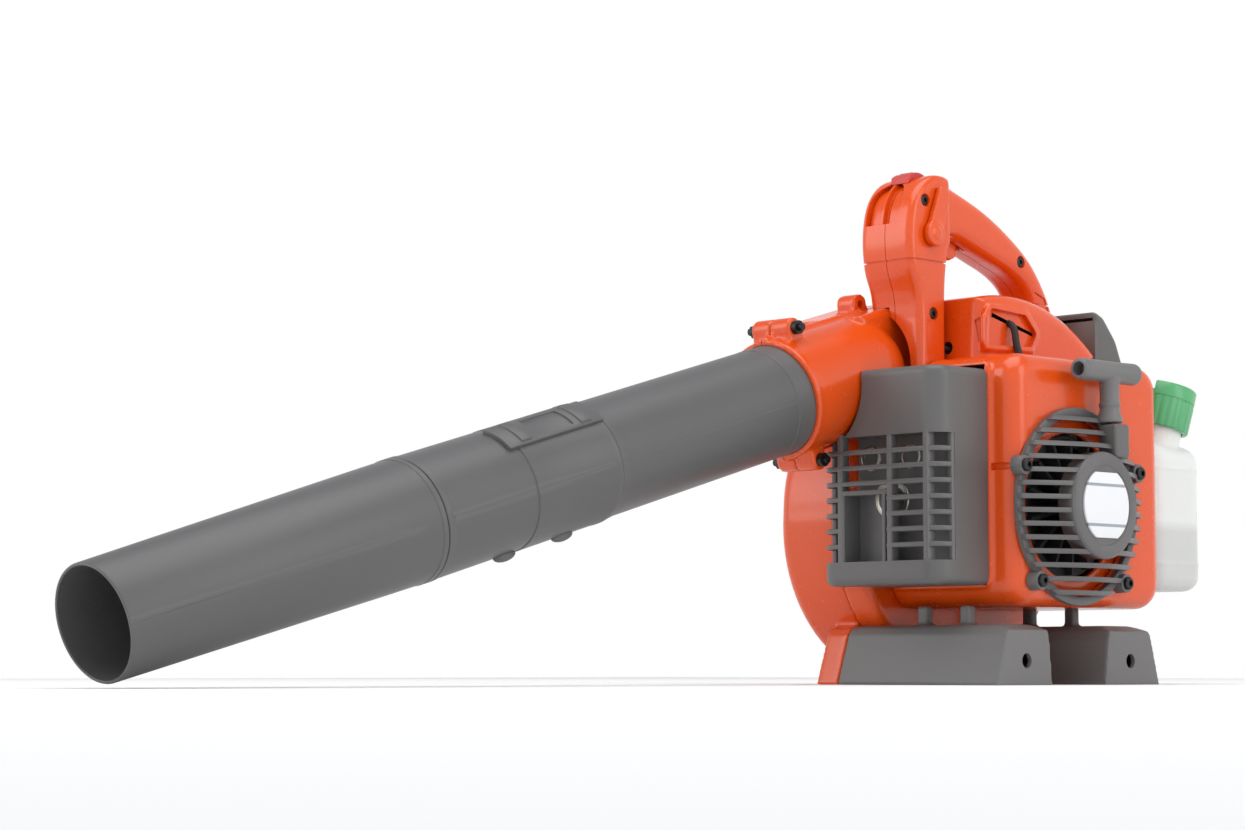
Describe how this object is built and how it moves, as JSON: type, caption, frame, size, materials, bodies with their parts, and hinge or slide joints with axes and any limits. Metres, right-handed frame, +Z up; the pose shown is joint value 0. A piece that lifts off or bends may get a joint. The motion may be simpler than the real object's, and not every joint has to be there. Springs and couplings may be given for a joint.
{
  "type": "leaf blower",
  "caption": "Handheld petrol leaf blower: two-stroke engine drives a radial fan in a volute, blowing air through a long detachable three-piece tube.",
  "frame": {"origin": "middle of the bounding box, on the ground under the feet", "axes": "+Z up, the tube points towards -Y, the recoil starter is on the +X side"},
  "size_m": [0.2218, 0.8884, 0.3544],
  "materials": {
    "orange_plastic": "glossy moulded, smooth",
    "dark_plastic": "fine moulded grain",
    "black_plastic": "satin",
    "white_plastic": "satin",
    "green_plastic": "satin",
    "tank_plastic": "translucent natural",
    "cast_aluminium": "as cast",
    "steel": "plain turned",
    "black_steel": "blackened",
    "muffler_steel": "bright pressed sheet",
    "rubber": "moulded",
    "foam": "open cell",
    "rope": "braided",
    "blue_plastic": "satin",
    "red_plastic": "smooth"
  },
  "bodies": {
    "root": {"upper_tube": "dark_plastic", "volute_inner": "orange_plastic", "volute_outer": "orange_plastic", "inlet_grille": "dark_plastic", "outlet_clamp_screw": "steel", "crankcase_right": "cast_aluminium", "crankcase_left": "cast_aluminium", "main_bearings": "steel", "shaft_seals": "rubber", "engine_cylinder": "cast_aluminium", "spark_plug": "white_plastic", "plug_boot": "rubber", "ignition_coil": "black_plastic", "ignition_lead": "rubber", "starter_housing": "dark_plastic", "recoil_spring": "steel", "housing_screws": "black_steel", "starter_badge": "white_plastic", "engine_shroud": "orange_plastic", "muffler_shell": "muffler_steel", "muffler_cover": "muffler_steel", "muffler_bolts": "steel", "muffler_guard": "dark_plastic", "handle_left": "orange_plastic", "handle_right": "orange_plastic", "trigger_pin": "steel", "throttle_cable": "rubber", "carburettor": "cast_aluminium", "intake_insulator": "black_plastic", "filter_base": "dark_plastic", "filter_foam": "foam", "fuel_tank": "tank_plastic", "fuel_line": "rubber", "front_foot": "dark_plastic", "rear_foot": "dark_plastic"},
    "crank": {"crankshaft": "steel", "flywheel": "cast_aluminium", "flywheel_nut": "steel", "impeller": "black_plastic", "impeller_nut": "steel"},
    "piston_group": {"piston": "cast_aluminium", "piston_ring": "steel", "wrist_pin": "steel", "con_rod": "steel", "crank_pin": "steel"},
    "lower_tube": {"lower_tube": "dark_plastic"},
    "nozzle": {"nozzle": "dark_plastic"},
    "trigger": {"trigger": "orange_plastic"},
    "lock_lever": {"throttle_lock_lever": "orange_plastic"},
    "stop_switch": {"stop_switch": "red_plastic"},
    "starter_grip": {"starter_grip": "dark_plastic", "starter_rope": "rope"},
    "starter_pulley": {"starter_pulley": "white_plastic", "rope_winding": "rope"},
    "throttle_arm": {"throttle_arm": "steel"},
    "choke_lever": {"choke_lever": "blue_plastic"},
    "primer_bulb": {"primer_bulb": "rubber"},
    "cap_liner": {"cap_liner": "rubber"},
    "fuel_cap": {"fuel_cap": "green_plastic"},
    "filter_cover": {"filter_cover": "dark_plastic"}
  },
  "joints": [
    {"name": "crank_spin", "type": "hinge", "parent": "root", "child": "crank", "pos_m": [0.0161, 0.27021, 0.12], "axis": [1, 0, 0], "continuous": true},
    {"name": "piston_stroke", "type": "slide", "parent": "root", "child": "piston_group", "axis": [0, 0, -1], "range_m": [0, 0.0287]},
    {"name": "lower_tube_twist", "type": "hinge", "parent": "root", "child": "lower_tube", "pos_m": [-0.0459, 0.11021, 0.19], "axis": [0, -0.9617, -0.274], "range_deg": [0, 20]},
    {"name": "nozzle_twist", "type": "hinge", "parent": "lower_tube", "child": "nozzle", "pos_m": [-0.0459, 0.11021, 0.19], "axis": [0, -0.9617, -0.274], "range_deg": [0, 20]},
    {"name": "trigger_pull", "type": "hinge", "parent": "root", "child": "trigger", "pos_m": [-0.0189, 0.26521, 0.329], "axis": [1, 0, 0], "range_deg": [0, 16], "stiffness_Nm_per_rad": 0.4, "springref_deg": -17.19},
    {"name": "throttle_arm_turn", "type": "hinge", "parent": "root", "child": "throttle_arm", "pos_m": [-0.0049, 0.34221, 0.172], "axis": [1, 0, 0], "range_deg": [0, 64]},
    {"name": "throttle_lock", "type": "hinge", "parent": "root", "child": "lock_lever", "pos_m": [0.0071, 0.21821, 0.309], "axis": [1, 0, 0], "range_deg": [0, 45]},
    {"name": "stop_press", "type": "slide", "parent": "root", "child": "stop_switch", "axis": [0, 0, -1], "range_m": [0, 0.003], "stiffness_N_per_m": 400, "springref_m": -0.003},
    {"name": "starter_pull", "type": "slide", "parent": "root", "child": "starter_grip", "axis": [0, 0, 1], "range_m": [0, 0.6], "stiffness_N_per_m": 15, "springref_m": -0.4, "deforming": ["starter_rope"]},
    {"name": "starter_pulley_turn", "type": "hinge", "parent": "root", "child": "starter_pulley", "pos_m": [0.0986, 0.27021, 0.12], "axis": [1, 0, 0], "range_deg": [0, 1620]},
    {"name": "choke_turn", "type": "hinge", "parent": "root", "child": "choke_lever", "pos_m": [-0.0099, 0.37771, 0.1645], "axis": [0, -1, 0], "range_deg": [0, 40]},
    {"name": "primer_press", "type": "slide", "parent": "root", "child": "primer_bulb", "axis": [0, -1, 0], "range_m": [0, 0.004], "stiffness_N_per_m": 300, "springref_m": -0.003},
    {"name": "fuel_cap_lift", "type": "slide", "parent": "root", "child": "cap_liner", "axis": [0.1103, 0.225, 0.9681], "range_m": [0, 0.05]},
    {"name": "fuel_cap_turn", "type": "hinge", "parent": "cap_liner", "child": "fuel_cap", "pos_m": [0.0521, 0.41621, 0.186], "axis": [0.1103, 0.225, 0.9681], "range_deg": [0, 450]},
    {"name": "filter_cover_off", "type": "slide", "parent": "root", "child": "filter_cover", "axis": [0, 1, 0], "range_m": [0, 0.05]}
  ],
  "couplings": [
    {"joint": "throttle_arm_turn", "follows": "trigger_pull", "ratio": 4},
    {"joint": "starter_pulley_turn", "follows": "starter_pull", "rad_per_m": 46.729}
  ]
}
